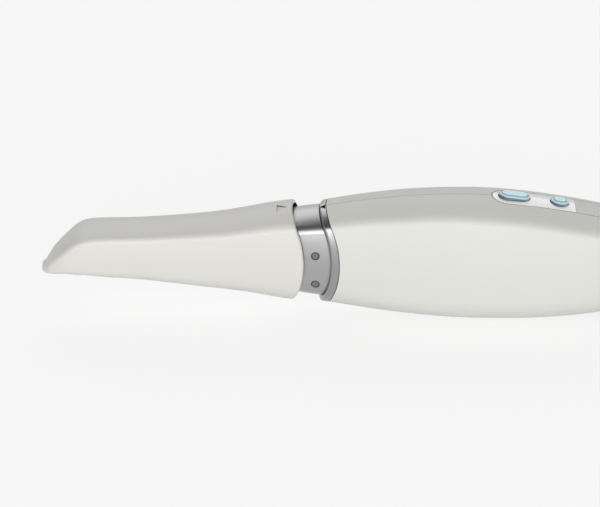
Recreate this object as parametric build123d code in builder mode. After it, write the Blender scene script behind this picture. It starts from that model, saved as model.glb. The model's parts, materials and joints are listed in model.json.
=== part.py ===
from build123d import *
from math import atan2, cos, sin
import os

os.makedirs("parts", exist_ok=True)

# Intraoral scanner: a slip-on tip with a mirror, a metal neck and collar, and a long moulded handle.
# X runs along the scanner from the nose to the cable end, Y across it and Z up.
# The scanner lies on its belly, with the origin on the ground below the middle of its length.

# Lengths along the scanner
tip_length = 87.0
seat_gap = 0.3
tip_drawn_off = 8.7
handle_length = 147.0
socket_proud = 3.0
collar_length = 3.2
joint_groove = 0.3
collar_round = 1.1
seam_width = 0.16

# Heights and half widths of the two lofted bodies, from the axis of the neck
handle_half = 16.6
crown_height = 21.5
belly_depth = 23.5
rim_half = 13.2
rim_height = 17.2
rim_depth = 16.7

# Walls and clearances
handle_wall = 2.2
tip_wall = 1.3
rim_round = 1.0
sleeve_wall = 1.9
slide_fit = 0.3
hand_fit = 0.15
overrun = 1.0

# Places that follow from the lengths, measured along X
joint_x = (tip_length + seat_gap + tip_drawn_off - handle_length - socket_proud) / 2
rim_x = joint_x - seat_gap - tip_drawn_off
nose_x = rim_x - tip_length
handle_end_x = joint_x + handle_length
socket_end_x = handle_end_x + socket_proud
axis_z = belly_depth

# Shape of a section, as shares of its half width: radii of crown, shoulder and chine, then shoulder place
collar_shape_shares = (1.7, 0.27, 0.73, 0.86)
end_shape_shares = (1.7, 0.27, 0.73, 0.95)
nose_shape_shares = (4.0, 0.22, 0.30, 0.98)
rim_shape_shares = (1.7, 0.30, 0.73, 0.91)
belly_crown_share = 2.2
chine_width_share = 0.86

# Handle sections: place along the handle, then half width, top and bottom
handle_shares = (
    (-0.02, 0.795, 0.775, 0.725),
    (0.0, 0.801, 0.782, 0.731),
    (0.032, 0.831, 0.813, 0.751),
    (0.068, 0.861, 0.854, 0.785),
    (0.151, 0.910, 0.930, 0.869),
    (0.246, 0.952, 0.985, 0.942),
    (0.365, 0.988, 0.998, 0.994),
    (0.467, 1.000, 0.953, 1.000),
    (0.574, 1.000, 0.852, 0.969),
    (0.660, 0.976, 0.744, 0.908),
    (0.794, 0.900, 0.545, 0.780),
    (0.912, 0.795, 0.345, 0.665),
    (1.0, 0.690, 0.195, 0.580),
)
neck_row_count = 6
scan_row = 7
mode_row = 8

# Tip sections: place along the tip, then half width, top and bottom
tip_shares = (
    (0.0, 0.205, -0.280, 0.415),
    (0.011, 0.303, -0.262, 0.462),
    (0.023, 0.409, -0.180, 0.462),
    (0.047, 0.545, -0.006, 0.451),
    (0.075, 0.644, 0.143, 0.437),
    (0.111, 0.712, 0.320, 0.436),
    (0.152, 0.750, 0.480, 0.449),
    (0.200, 0.773, 0.550, 0.463),
    (0.312, 0.765, 0.577, 0.516),
    (0.473, 0.780, 0.618, 0.598),
    (0.634, 0.826, 0.689, 0.705),
    (0.795, 0.894, 0.809, 0.809),
    (0.916, 0.955, 0.935, 0.922),
    (1.0, 1.000, 1.000, 1.000),
    (1.075, 1.025, 1.035, 1.045),
)
cavity_first_row = 3
window_row = 5
taper_first_row = 9

# Wavy joint lines: arcs in side view that bulge towards the rear
wave_half_height = (rim_height + rim_depth) / 2
wave_bulge = 4.5

# Tip: mirror, scan window and guide ribs
mirror_seat_share = 32 / 435
mirror_thickness = 1.1
mirror_fit = 0.1
window_from_nose = 5.5
window_length = 14.0
window_width = 11.5
window_corner = 3.5
window_lead = 1.4
rib_from_nose = 34.5
rib_length = 36.0
rib_pitch = 8.0
rib_width = 1.2
rib_root = 0.5
rib_start_x = nose_x + rib_from_nose
mark_from_rim = 1.3
mark_length = 3.6
mark_width = 5.0
mark_depth = 0.3
mark_off_centre = 1.0

# Snout inside the tip
snout_reach = 53.0
snout_width = 16.0
snout_height = 15.0
snout_rise = 0.5
snout_corner = 3.0
snout_wall = 1.1
snout_flange_land = 0.5
snout_flange_thickness = 2.0
window_recess = 2.0
window_glass = 1.2
window_fit = 0.08
seal_thickness = 0.6
snout_z = axis_z + snout_rise

# Neck, pads and frame screws
neck_reach = 14.0
spigot_length = 12.0
lug_radius = 2.8
lug_length = 7.0
frame_screw_span_y = 14.4
frame_screw_span_z = 19.0
frame_screw_radius = 1.0
frame_screw_grip = 5.0
frame_head_radius = 1.9
frame_head_height = 1.4
pad_radius = 1.5
pad_sink = 0.12
pad_fit = 0.05
pad_floor = 10.3
pad_setback = 0.5
upper_pad_rise = 3.0
lower_pad_drop = 8.1
neck_front_x = joint_x - neck_reach
spigot_end_x = joint_x + spigot_length
pad_heights = (upper_pad_rise, -lower_pad_drop)

# Inlays of the crown
inlay_depth = 1.3
inlay_width = 11.2
inlay_gap = 0.2
panel_apex_share = 0.4136
panel_end_share = 0.6116
panel_apex_x = joint_x + handle_length * panel_apex_share
panel_end_x = joint_x + handle_length * panel_end_share

# Keys, plungers and switches
scan_key_length = 11.0
key_width = 6.4
key_fit = 0.25
key_proud = 1.3
key_bevel = 0.9
flange_width = 0.8
flange_gap = 0.3
flange_thickness = 0.8
stem_radius = 1.5
stem_length = 1.0
plunger_radius = 1.4
plunger_dip = 0.7
switch_size = 6.0
switch_height = 3.4
switch_bore = 1.8
button_board_depth = 10.0
button_board_width = 12.0

# Rear cap and its seam
cap_seam_from_end = 50.3
cap_seam_run = 34.8
cap_seam_drop = 21.6
cap_seam_rise = 30.2
cap_seam_sag = 4.5
end_wall = 3.0
end_round = 1.2
cap_screw_y = 8.5
cap_boss_radius = 2.2
cap_screw_radius = 1.0
cap_head_radius = 1.9
cap_head_depth = 1.6
cap_head_height = 1.3
cap_seam_belly_x = handle_end_x - cap_seam_from_end
cap_seam_top_x = cap_seam_belly_x + cap_seam_run
cap_seam_belly_z = axis_z - cap_seam_drop
cap_seam_top_z = cap_seam_belly_z + cap_seam_rise

# Cable socket
socket_radius = 5.2
socket_flange_radius = 6.0
socket_chamfer = 0.6
socket_depth = 10.0
bore_radius = 3.6
bore_depth = 8.0
pin_circle_radius = 2.0
pin_radius = 0.45
pin_length = 9.0
pin_count = 6
inlet_z = axis_z + (crown_height * handle_shares[-1][2] - belly_depth * handle_shares[-1][3]) / 2

# Optics frame
bulkhead_thickness = 2.5
frame_end_gap = 26.0
rail_gap = 18.6
rail_thickness = 1.5
rail_bottom = 8.0
rail_top = 2.0
shelf_thickness = 1.5
shelf_margin = 1.0
deck_gap = 0.5
ledge_drop = 6.0
ledge_thickness = 2.0
ledge_length = 3.0
first_ledge = 60.5
last_ledge_gap = 19.5
bridge_offset = 7.5
bridge_thickness = 2.5
bridge_screw_grip = 2.0
end_plate = 2.5
frame_front_x = spigot_end_x
frame_end_x = handle_end_x - frame_end_gap
frame_length = frame_end_x - frame_front_x
ledge_centres = (joint_x + first_ledge, frame_end_x - last_ledge_gap)
ledge_pitch = ledge_centres[1] - ledge_centres[0]

# Camera
splitter_from_joint = 37.5
splitter_size = 11.0
barrel_radius = 7.0
barrel_nose = 6.5
barrel_gap = 2.5
barrel_flange_land = 1.4
barrel_flange_thickness = 2.0
lens_radius = 5.6
lens_land = 0.8
lens_fit = 0.05
lens_pocket = 4.0
lens_dome = 1.2
lens_rim = 1.6
camera_board_gap = 3.5
camera_board_width = 18.0
camera_board_height = 13.5
sensor_size = 8.0
sensor_thickness = 1.2

# Projector
projector_radius = 5.3
projector_height = 10.0
projector_flange = 1.3
projector_lens_radius = 4.2
projector_pocket = 3.0
projector_lens_thickness = 2.0
slide_thickness = 0.8
light_size = 3.5
light_height = 1.6

# Boards, chips and heat sink
board_thickness = 1.4
board_margin = 1.5
board_screw_span = 14.0
board_screw_radius = 0.8
board_head_radius = 1.5
board_head_height = 1.0
processor_size = 13.0
processor_height = 1.6
thermal_pad_height = 0.6
chip_pitch = 11.0
chip_columns = 3
chip_length = 8.0
chip_width = 10.0
chip_corner = 0.4
chip_height = 1.2
header_length = 6.0
header_width = 12.0
header_height = 4.0
sink_margin = 3.0
sink_height = 8.5
sink_base = 2.0
fin_pitch = 2.6
fin_thickness = 1.1
fin_count = 7
sink_length = ledge_pitch - ledge_length - 2 * sink_margin


def blend(first, last, share):
    return first + (last - first) * min(1, max(0, share))


def cross_plane(x, z=axis_z, y=0):
    """Plane across the scanner, facing the rear, with its origin at the given place."""
    return Plane(origin=(x, y, z), x_dir=(0, 1, 0), z_dir=(1, 0, 0))


def lofted_body(rows, start_x, length, half, top, low, shapes, inset=0):
    """Loft through sections with a crowned top, bowed sides and rounded corners, drawn in by inset."""
    with BuildPart() as body:
        for place_share, half_share, top_share, low_share in rows:
            crown, shoulder, chine, ridge = [
                blend(first, last, place_share) * half * half_share
                for first, last in zip(*shapes)
            ]
            side = half * half_share - inset
            roof = axis_z + top * top_share - inset
            floor = axis_z - low * low_share + inset
            middle = (roof + floor) / 2
            inset_scale = side / (half * half_share)
            shoulder_y = ridge * inset_scale
            chine_y = side * chine_width_share
            shoulder_z = roof - shoulder_y ** 2 / (2 * (crown - inset))
            chine_z = floor + chine_y ** 2 / (2 * belly_crown_share * side)
            with BuildSketch(Plane.YZ.offset(start_x + length * place_share)) as section:
                with BuildLine():
                    ThreePointArc((-shoulder_y, shoulder_z), (0, roof), (shoulder_y, shoulder_z))
                    ThreePointArc((shoulder_y, shoulder_z), (side, middle), (chine_y, chine_z))
                    ThreePointArc((chine_y, chine_z), (0, floor), (-chine_y, chine_z))
                    ThreePointArc((-chine_y, chine_z), (-side, middle), (-shoulder_y, shoulder_z))
                make_face()
                fillet(section.vertices().sort_by(Axis.Y)[:2], chine * inset_scale)
                fillet(section.vertices().sort_by(Axis.Y)[-2:], shoulder * inset_scale)
        loft()
    return body.part


def handle_body(inset=0, rows=handle_shares):
    return lofted_body(
        rows, joint_x, handle_length, handle_half, crown_height, belly_depth,
        (collar_shape_shares, end_shape_shares), inset,
    )


def tip_body(inset=0, first_row=0):
    return lofted_body(
        tip_shares[first_row:], nose_x, tip_length, rim_half, rim_height, rim_depth,
        (nose_shape_shares, rim_shape_shares), inset,
    )


def behind_arc(centre_x, centre_z, radius):
    """Everything behind an arc drawn in side view, from its centre to past the rear end."""
    with BuildPart() as region:
        with BuildSketch(Plane.XZ):
            with Locations((centre_x + handle_length, centre_z)):
                Rectangle(2 * handle_length, 2 * (radius + crown_height + belly_depth))
            with Locations((centre_x, centre_z)):
                Circle(radius, mode=Mode.SUBTRACT)
        extrude(amount=2 * handle_half, both=True)
    return region.part


def behind_wave(crown_x):
    """Everything behind the wavy joint line that crosses the crown at crown_x."""
    radius = (wave_half_height ** 2 + wave_bulge ** 2) / (2 * wave_bulge)
    return behind_arc(crown_x + wave_bulge - radius, axis_z, radius)


def behind_cap_seam(gap=0):
    """Everything behind the seam of the rear cap, which sweeps from the belly up and back."""
    run = cap_seam_top_x - cap_seam_belly_x
    rise = cap_seam_top_z - cap_seam_belly_z
    half_chord = (run ** 2 + rise ** 2) ** 0.5 / 2
    radius = (half_chord ** 2 + cap_seam_sag ** 2) / (2 * cap_seam_sag)
    reach = (radius - cap_seam_sag) / (2 * half_chord)
    centre_x = (cap_seam_belly_x + cap_seam_top_x) / 2 - rise * reach
    centre_z = (cap_seam_belly_z + cap_seam_top_z) / 2 + run * reach
    return behind_arc(centre_x, centre_z, radius - gap)


def front_rim(builder):
    """The outer edges of the foremost face that a wavy joint line cuts."""
    wave_faces = builder.faces().filter_by(GeomType.CYLINDER).sort_by(Axis.X)
    return wave_faces[0].outer_wire().edges()


def save(piece, name):
    piece.label = name
    export_step(piece, "parts/" + name + ".step")


# Tip shell: a moulded sleeve with a wavy rim, a mark on its crown, guide ribs and a scan window
mirror_seat = Plane(
    origin=(nose_x + tip_length * mirror_seat_share, 0, axis_z), x_dir=(0, 1, 0), z_dir=(1, 0, -1)
)
window_z = axis_z - rim_depth * tip_shares[window_row][3] + tip_wall + window_lead
with BuildPart() as tip_cavity:
    add(tip_body(tip_wall, cavity_first_row))
    split(bisect_by=mirror_seat, keep=Keep.TOP)

with BuildPart() as guide_ribs:
    with BuildSketch(Plane.YZ.offset(rib_start_x)):
        with Locations((0, snout_z + rib_pitch / 2), (0, snout_z - rib_pitch / 2)):
            Rectangle(2 * rim_half, rib_width)
        with Locations((rib_pitch / 2, snout_z), (-rib_pitch / 2, snout_z)):
            Rectangle(rib_width, 2 * rim_height)
        with Locations((0, snout_z)):
            RectangleRounded(
                snout_width + 2 * slide_fit, snout_height + 2 * slide_fit, snout_corner,
                mode=Mode.SUBTRACT,
            )
    extrude(amount=rib_length)
    add(tip_body(tip_wall - rib_root, cavity_first_row), mode=Mode.INTERSECT)

with BuildPart() as tip_mark:
    with BuildSketch(Plane.XY.offset(axis_z)):
        with BuildLine(Location((rim_x - mark_from_rim, -mark_off_centre))):
            Polyline(
                (0, 0), (-mark_length, mark_width / 2), (-mark_length, -mark_width / 2), close=True
            )
        make_face()
    extrude(amount=2 * rim_height)
    add(tip_body(mark_depth, taper_first_row), mode=Mode.SUBTRACT)

with BuildPart() as tip_shell:
    add(tip_body())
    add(tip_cavity.part, mode=Mode.SUBTRACT)
    add(behind_wave(rim_x), mode=Mode.SUBTRACT)
    fillet(front_rim(tip_shell), rim_round)
    add(tip_mark.part, mode=Mode.SUBTRACT)
    with BuildSketch(Plane.XY.offset(window_z)):
        with Locations((nose_x + window_from_nose + window_length / 2, 0)):
            RectangleRounded(window_length, window_width, window_corner)
    extrude(amount=-rim_depth, mode=Mode.SUBTRACT)
    add(guide_ribs.part)
save(tip_shell.part, "tip_shell")

# Mirror: a glass plate bonded to the slanted seat in the nose
with BuildPart() as tip_mirror:
    add(tip_body(tip_wall + mirror_fit, cavity_first_row))
    split(bisect_by=mirror_seat, keep=Keep.TOP)
    split(bisect_by=mirror_seat.offset(mirror_thickness), keep=Keep.BOTTOM)
save(tip_mirror.part, "tip_mirror")

# Neck sleeve: the metal taper that fills the seated tip, with a spigot inside the handle
taper_inset = tip_wall + slide_fit
spigot_inset = handle_wall + hand_fit
with BuildPart() as spigot:
    add(handle_body(spigot_inset))
    split(bisect_by=Plane.YZ.offset(spigot_end_x), keep=Keep.BOTTOM)

with BuildPart() as sleeve_lugs:
    with BuildSketch(Plane.YZ.offset(spigot_end_x)):
        with Locations((0, axis_z)):
            with GridLocations(frame_screw_span_y, frame_screw_span_z, 2, 2):
                Circle(lug_radius)
    extrude(amount=-lug_length)
    add(spigot.part, mode=Mode.INTERSECT)

with BuildPart() as neck_sleeve:
    add(Pos(tip_drawn_off, 0, 0) * tip_body(taper_inset, taper_first_row))
    split(bisect_by=Plane.YZ.offset(neck_front_x), keep=Keep.TOP)
    add(behind_wave(joint_x), mode=Mode.SUBTRACT)
    add(spigot.part)
    add(handle_body(spigot_inset + sleeve_wall, handle_shares[:neck_row_count]), mode=Mode.SUBTRACT)
    with BuildSketch(Plane.YZ.offset(neck_front_x)):
        with Locations((0, snout_z)):
            RectangleRounded(snout_width + 2 * hand_fit, snout_height + 2 * hand_fit, snout_corner)
    extrude(amount=spigot_end_x - neck_front_x, mode=Mode.SUBTRACT)
    add(sleeve_lugs.part)
    with BuildSketch(Plane.YZ.offset(spigot_end_x)):
        with Locations((0, axis_z)):
            with GridLocations(frame_screw_span_y, frame_screw_span_z, 2, 2):
                Circle(frame_screw_radius)
    extrude(amount=-frame_screw_grip, mode=Mode.SUBTRACT)
    for side in (1, -1):
        for height in pad_heights:
            with BuildSketch(Plane.XZ.offset(side * pad_floor)):
                with Locations((joint_x - pad_setback, axis_z + height)):
                    Circle(pad_radius + pad_fit)
            extrude(amount=side * rim_half, mode=Mode.SUBTRACT)
save(neck_sleeve.part, "neck_sleeve")

# Grip pads: four round discs let into the sides of the neck
with BuildPart() as grip_pads:
    for side in (1, -1):
        for height in pad_heights:
            with BuildSketch(Plane.XZ.offset(side * pad_floor)):
                with Locations((joint_x - pad_setback, axis_z + height)):
                    Circle(pad_radius)
            extrude(amount=side * rim_half)
    add(Pos(tip_drawn_off, 0, 0) * tip_body(taper_inset + pad_sink, taper_first_row), mode=Mode.INTERSECT)
save(grip_pads.part, "grip_pads")

# Collar ring: the metal band between the neck and the handle
with BuildPart() as collar_ring:
    add(handle_body())
    add(behind_wave(joint_x + joint_groove), mode=Mode.INTERSECT)
    add(behind_wave(joint_x + collar_length), mode=Mode.SUBTRACT)
    add(handle_body(handle_wall), mode=Mode.SUBTRACT)
    fillet(front_rim(collar_ring), collar_round)
save(collar_ring.part, "collar_ring")

# Deck: where the two keys sit along the crown, and the common plane of their travel
scan_x = joint_x + handle_length * handle_shares[scan_row][0]
scan_z = axis_z + crown_height * handle_shares[scan_row][2]
mode_x = joint_x + handle_length * handle_shares[mode_row][0]
mode_z = axis_z + crown_height * handle_shares[mode_row][2]
deck_tilt = atan2(scan_z - mode_z, mode_x - scan_x)


def deck_plane(x, z, height=0):
    """Plane across the crown at one place, with its normal along the keys' travel."""
    normal = Vector(sin(deck_tilt), 0, cos(deck_tilt))
    return Plane(
        origin=Vector(x, 0, z) + normal * height,
        x_dir=(cos(deck_tilt), 0, -sin(deck_tilt)), z_dir=normal,
    )


def key_column(grow, low, high):
    """Both key outlines, grown all round and drawn from one height of the deck to another."""
    with BuildPart() as column:
        with BuildSketch(deck_plane(scan_x, scan_z, low)):
            SlotOverall(scan_key_length + 2 * grow, key_width + 2 * grow)
        extrude(amount=high - low)
        with BuildSketch(deck_plane(mode_x, mode_z, low)):
            Circle(key_width / 2 + grow)
        extrude(amount=high - low)
    return column.part


key_holes = key_column(key_fit, -handle_wall - overrun, crown_height)
key_pockets = key_column(
    flange_width + key_fit, -handle_wall - crown_height / 2, -handle_wall
)

# Inlay layer: the skin of the crown that the white panel and the grey strip replace
with BuildPart() as crown_skin:
    add(handle_body())
    add(handle_body(inlay_depth), mode=Mode.SUBTRACT)


def inlay_outline(shrink=0):
    """The long round-ended outline of the inlays, drawn through the crown."""
    half_width = inlay_width / 2 - shrink
    length = cap_seam_top_x + crown_height - panel_apex_x - inlay_width / 2
    with BuildPart() as outline:
        with BuildSketch(Plane.XY.offset(axis_z)):
            with Locations((panel_apex_x + inlay_width / 2, 0)):
                Circle(half_width)
            with Locations((panel_apex_x + inlay_width / 2 + length / 2, 0)):
                Rectangle(length, 2 * half_width)
        extrude(amount=2 * crown_height)
    return outline.part


with BuildPart() as inlay_recess:
    add(crown_skin.part)
    add(inlay_outline(), mode=Mode.INTERSECT)

with BuildPart() as inlay:
    add(crown_skin.part)
    add(inlay_outline(inlay_gap), mode=Mode.INTERSECT)
    add(behind_cap_seam(joint_groove), mode=Mode.SUBTRACT)

with BuildPart() as button_panel:
    add(inlay.part)
    split(bisect_by=Plane.YZ.offset(panel_end_x), keep=Keep.BOTTOM)
    add(key_holes, mode=Mode.SUBTRACT)
save(button_panel.part, "button_panel")

with BuildPart() as rear_strip:
    add(inlay.part)
    split(bisect_by=Plane.YZ.offset(panel_end_x + inlay_gap / 2), keep=Keep.TOP)
save(rear_strip.part, "rear_strip")

# Seam slot: the fine groove that shows where the two halves of the handle meet
with BuildPart() as seam_slot:
    add(crown_skin.part)
    split(bisect_by=Plane.XZ.offset(-seam_width / 2), keep=Keep.TOP)
    split(bisect_by=Plane.XZ.offset(seam_width / 2), keep=Keep.BOTTOM)

# Handle housing: a thin moulded shell, split along the middle into a left and a right half
with BuildPart() as housing:
    add(handle_body())
    add(handle_body(handle_wall), mode=Mode.SUBTRACT)
    add(behind_wave(joint_x + collar_length + joint_groove), mode=Mode.INTERSECT)
    add(behind_cap_seam(joint_groove), mode=Mode.SUBTRACT)
    add(inlay_recess.part, mode=Mode.SUBTRACT)
    add(seam_slot.part, mode=Mode.SUBTRACT)
    add(key_holes, mode=Mode.SUBTRACT)
    add(key_pockets, mode=Mode.SUBTRACT)

with BuildPart() as left_housing:
    add(housing.part)
    split(bisect_by=Plane.XZ, keep=Keep.TOP)
save(left_housing.part, "left_housing")

with BuildPart() as right_housing:
    add(housing.part)
    split(bisect_by=Plane.XZ, keep=Keep.BOTTOM)
save(right_housing.part, "right_housing")

# Rear cap: the grey end with the cable inlet and two screw bosses
with BuildPart() as cap_cavity:
    add(handle_body(handle_wall))
    split(bisect_by=Plane.YZ.offset(handle_end_x - end_wall), keep=Keep.BOTTOM)

with BuildPart() as rear_cap:
    add(handle_body())
    add(behind_cap_seam(), mode=Mode.INTERSECT)
    fillet(rear_cap.faces().sort_by(Axis.X)[-1].edges(), end_round)
    add(cap_cavity.part, mode=Mode.SUBTRACT)
    with BuildSketch(Plane.YZ.offset(handle_end_x - end_wall)):
        with Locations((cap_screw_y, inlet_z), (-cap_screw_y, inlet_z)):
            Circle(cap_boss_radius)
    extrude(amount=frame_end_x - handle_end_x + end_wall)
    with BuildSketch(Plane.YZ.offset(handle_end_x)):
        with Locations((0, inlet_z)):
            Circle(socket_radius + hand_fit)
    extrude(amount=-end_wall, mode=Mode.SUBTRACT)
    with BuildSketch(Plane.YZ.offset(handle_end_x)):
        with Locations((cap_screw_y, inlet_z), (-cap_screw_y, inlet_z)):
            Circle(cap_screw_radius + hand_fit)
    extrude(amount=frame_end_x - handle_end_x, mode=Mode.SUBTRACT)
    with BuildSketch(Plane.YZ.offset(handle_end_x)):
        with Locations((cap_screw_y, inlet_z), (-cap_screw_y, inlet_z)):
            Circle(cap_head_radius + hand_fit)
    extrude(amount=-cap_head_depth, mode=Mode.SUBTRACT)
save(rear_cap.part, "rear_cap")

# Cable socket: a round shell through the end wall, with a stepped bore and flush pins
with BuildPart() as cable_socket:
    with BuildSketch(Plane.YZ.offset(socket_end_x)):
        with Locations((0, inlet_z)):
            Circle(socket_flange_radius)
    extrude(amount=-socket_proud)
    chamfer(cable_socket.faces().sort_by(Axis.X)[-1].edges(), socket_chamfer)
    with BuildSketch(Plane.YZ.offset(handle_end_x)):
        with Locations((0, inlet_z)):
            Circle(socket_radius)
    extrude(amount=-socket_depth)
    with BuildSketch(Plane.YZ.offset(socket_end_x)):
        with Locations((0, inlet_z)):
            Circle(bore_radius)
    extrude(amount=-bore_depth, mode=Mode.SUBTRACT)
    with BuildSketch(Plane.YZ.offset(socket_end_x - bore_depth)):
        with Locations((0, inlet_z)):
            with PolarLocations(pin_circle_radius, pin_count):
                Circle(pin_radius)
    extrude(amount=-handle_length, mode=Mode.SUBTRACT)
save(cable_socket.part, "cable_socket")

with BuildPart() as socket_contacts:
    with BuildSketch(Plane.YZ.offset(socket_end_x - bore_depth)):
        with Locations((0, inlet_z)):
            with PolarLocations(pin_circle_radius, pin_count):
                Circle(pin_radius)
    extrude(amount=-pin_length)
save(socket_contacts.part, "socket_contacts")


def headed_screw(plane, head_radius, head_height, shank_radius, shank_length):
    """A screw whose head stands on the plane and whose shank goes down from it."""
    with BuildPart() as screw:
        with BuildSketch(plane):
            Circle(head_radius)
        extrude(amount=head_height)
        with BuildSketch(plane):
            Circle(shank_radius)
        extrude(amount=-shank_length)
    return screw.part


# Cap screws: two long screws from the rear face into the frame's end plate
with BuildPart() as cap_screws:
    for side in (1, -1):
        add(headed_screw(
            cross_plane(handle_end_x - cap_head_depth, inlet_z, side * cap_screw_y),
            cap_head_radius, cap_head_height, cap_screw_radius,
            handle_end_x - cap_head_depth - frame_end_x + end_plate,
        ))
save(cap_screws.part, "cap_screws")

# Snout: the black optical tube that carries the tip, with its window glass and seal
snout_front_x = joint_x - snout_reach
snout_flange_x = joint_x + handle_length * handle_shares[0][0]
with BuildPart() as snout_tube:
    with BuildSketch(Plane.YZ.offset(snout_front_x)):
        with Locations((0, snout_z)):
            RectangleRounded(snout_width, snout_height, snout_corner)
    extrude(amount=snout_flange_x - snout_front_x)
    with BuildSketch(Plane.YZ.offset(snout_flange_x)):
        with Locations((0, snout_z)):
            RectangleRounded(
                snout_width + 2 * snout_flange_land, snout_height + 2 * snout_flange_land,
                snout_corner,
            )
    extrude(amount=snout_flange_thickness)
    with BuildSketch(Plane.YZ.offset(snout_front_x)):
        with Locations((0, snout_z)):
            RectangleRounded(
                snout_width - 4 * snout_wall, snout_height - 4 * snout_wall,
                snout_corner - snout_wall,
            )
    extrude(amount=snout_reach, mode=Mode.SUBTRACT)
    with BuildSketch(Plane.YZ.offset(snout_front_x + window_recess)):
        with Locations((0, snout_z)):
            RectangleRounded(
                snout_width - 2 * snout_wall, snout_height - 2 * snout_wall,
                snout_corner - snout_wall,
            )
    extrude(amount=-window_recess, mode=Mode.SUBTRACT)
save(snout_tube.part, "snout_tube")

with BuildPart() as window_seal:
    with BuildSketch(Plane.YZ.offset(snout_front_x + window_recess)):
        with Locations((0, snout_z)):
            RectangleRounded(
                snout_width - 2 * (snout_wall + window_fit),
                snout_height - 2 * (snout_wall + window_fit),
                snout_corner - snout_wall,
            )
            RectangleRounded(
                snout_width - 4 * snout_wall, snout_height - 4 * snout_wall,
                snout_corner - snout_wall, mode=Mode.SUBTRACT,
            )
    extrude(amount=-seal_thickness)
save(window_seal.part, "window_seal")

with BuildPart() as front_window:
    with BuildSketch(Plane.YZ.offset(snout_front_x + window_recess - seal_thickness)):
        with Locations((0, snout_z)):
            RectangleRounded(
                snout_width - 2 * (snout_wall + window_fit),
                snout_height - 2 * (snout_wall + window_fit),
                snout_corner - snout_wall,
            )
    extrude(amount=-window_glass)
save(front_window.part, "front_window")

# Optics frame: one casting with a bulkhead, two rails, shelves, ledges and an end plate
splitter_x = joint_x + splitter_from_joint
board_bottom_z = axis_z - ledge_drop
shelf_top_z = axis_z - splitter_size / 2
projector_deck_z = axis_z + splitter_size / 2 + deck_gap + shelf_thickness
rail_outer = rail_gap / 2 + rail_thickness


def frame_beam(x, length, low_z, high_z):
    """A solid block between the rails, from one height to another."""
    with BuildPart() as beam:
        with BuildSketch(Plane.XY.offset(low_z)):
            with Locations((x + length / 2, 0)):
                Rectangle(length, 2 * rail_outer)
        extrude(amount=high_z - low_z)
    return beam.part


with BuildPart() as bulkhead:
    add(handle_body(spigot_inset + hand_fit))
    split(bisect_by=Plane.YZ.offset(frame_front_x), keep=Keep.TOP)
    split(bisect_by=Plane.YZ.offset(frame_front_x + bulkhead_thickness), keep=Keep.BOTTOM)

deck_middle = deck_plane((scan_x + mode_x) / 2, (scan_z + mode_z) / 2, -button_board_depth)
bridge_reach = (mode_x - scan_x) / 2 + bridge_offset
with BuildPart() as optics_frame:
    for bridge_x in (scan_x - bridge_offset, mode_x + bridge_offset):
        add(frame_beam(
            bridge_x - bridge_thickness / 2, bridge_thickness, axis_z, axis_z + crown_height
        ))
    with BuildSketch(deck_middle):
        Rectangle(2 * (bridge_reach + bridge_thickness), 2 * handle_half)
    extrude(amount=crown_height, mode=Mode.SUBTRACT)
    with BuildSketch(Plane.XZ.offset(-rail_outer)):
        with Locations((frame_front_x, axis_z - rail_bottom)):
            Rectangle(frame_length, rail_bottom + rail_top, align=(Align.MIN, Align.MIN))
        with Locations((splitter_x - shelf_margin, axis_z)):
            Rectangle(
                splitter_size + 2 * shelf_margin, projector_deck_z - axis_z,
                align=(Align.MIN, Align.MIN),
            )
    extrude(amount=2 * rail_outer)
    with BuildSketch(Plane.XY.offset(axis_z - rail_bottom)):
        with Locations((frame_front_x + frame_length / 2 - end_plate / 2, 0)):
            Rectangle(frame_length - end_plate, rail_gap)
    extrude(amount=rail_bottom + rail_top, mode=Mode.SUBTRACT)
    with BuildSketch(Plane.XY.offset(axis_z)):
        with Locations((splitter_x + splitter_size / 2, 0)):
            Rectangle(splitter_size + 2 * shelf_margin, rail_gap)
    extrude(amount=projector_deck_z - axis_z, mode=Mode.SUBTRACT)
    add(bulkhead.part)
    add(frame_beam(
        splitter_x - shelf_margin,
        splitter_size + camera_board_gap + board_thickness + 2 * shelf_margin,
        shelf_top_z - shelf_thickness, shelf_top_z,
    ))
    add(frame_beam(
        splitter_x - shelf_margin, splitter_size + 2 * shelf_margin,
        projector_deck_z - shelf_thickness, projector_deck_z,
    ))
    for ledge_x in ledge_centres:
        add(frame_beam(
            ledge_x - ledge_length / 2, ledge_length, board_bottom_z - ledge_thickness,
            board_bottom_z,
        ))
    with BuildSketch(cross_plane(frame_front_x)):
        Circle(barrel_radius + hand_fit)
        with GridLocations(frame_screw_span_y, frame_screw_span_z, 2, 2):
            Circle(frame_screw_radius + hand_fit)
    extrude(amount=bulkhead_thickness, mode=Mode.SUBTRACT)
    with BuildSketch(Plane.XY.offset(projector_deck_z)):
        with Locations((splitter_x + splitter_size / 2, 0)):
            Circle(projector_radius + hand_fit)
    extrude(amount=-shelf_thickness, mode=Mode.SUBTRACT)
    with BuildSketch(cross_plane(frame_end_x, inlet_z)):
        with Locations((cap_screw_y, 0), (-cap_screw_y, 0)):
            Circle(cap_screw_radius)
    extrude(amount=-end_plate, mode=Mode.SUBTRACT)
    with BuildSketch(Plane.XY.offset(board_bottom_z)):
        with Locations((sum(ledge_centres) / 2, 0)):
            with GridLocations(ledge_pitch, board_screw_span, 2, 2):
                Circle(board_screw_radius)
    extrude(amount=-ledge_thickness, mode=Mode.SUBTRACT)
    with BuildSketch(deck_middle):
        with Locations((-bridge_reach, 0), (bridge_reach, 0)):
            Circle(board_screw_radius)
    extrude(amount=-bridge_screw_grip, mode=Mode.SUBTRACT)
save(optics_frame.part, "optics_frame")


def round_piece(plane, radius, length, bore_radius=0):
    """A plain disc, rod or ring that goes from the plane along its normal."""
    with BuildPart() as piece:
        with BuildSketch(plane):
            Circle(radius)
            if bore_radius:
                Circle(bore_radius, mode=Mode.SUBTRACT)
        extrude(amount=length)
    return piece.part


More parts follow.
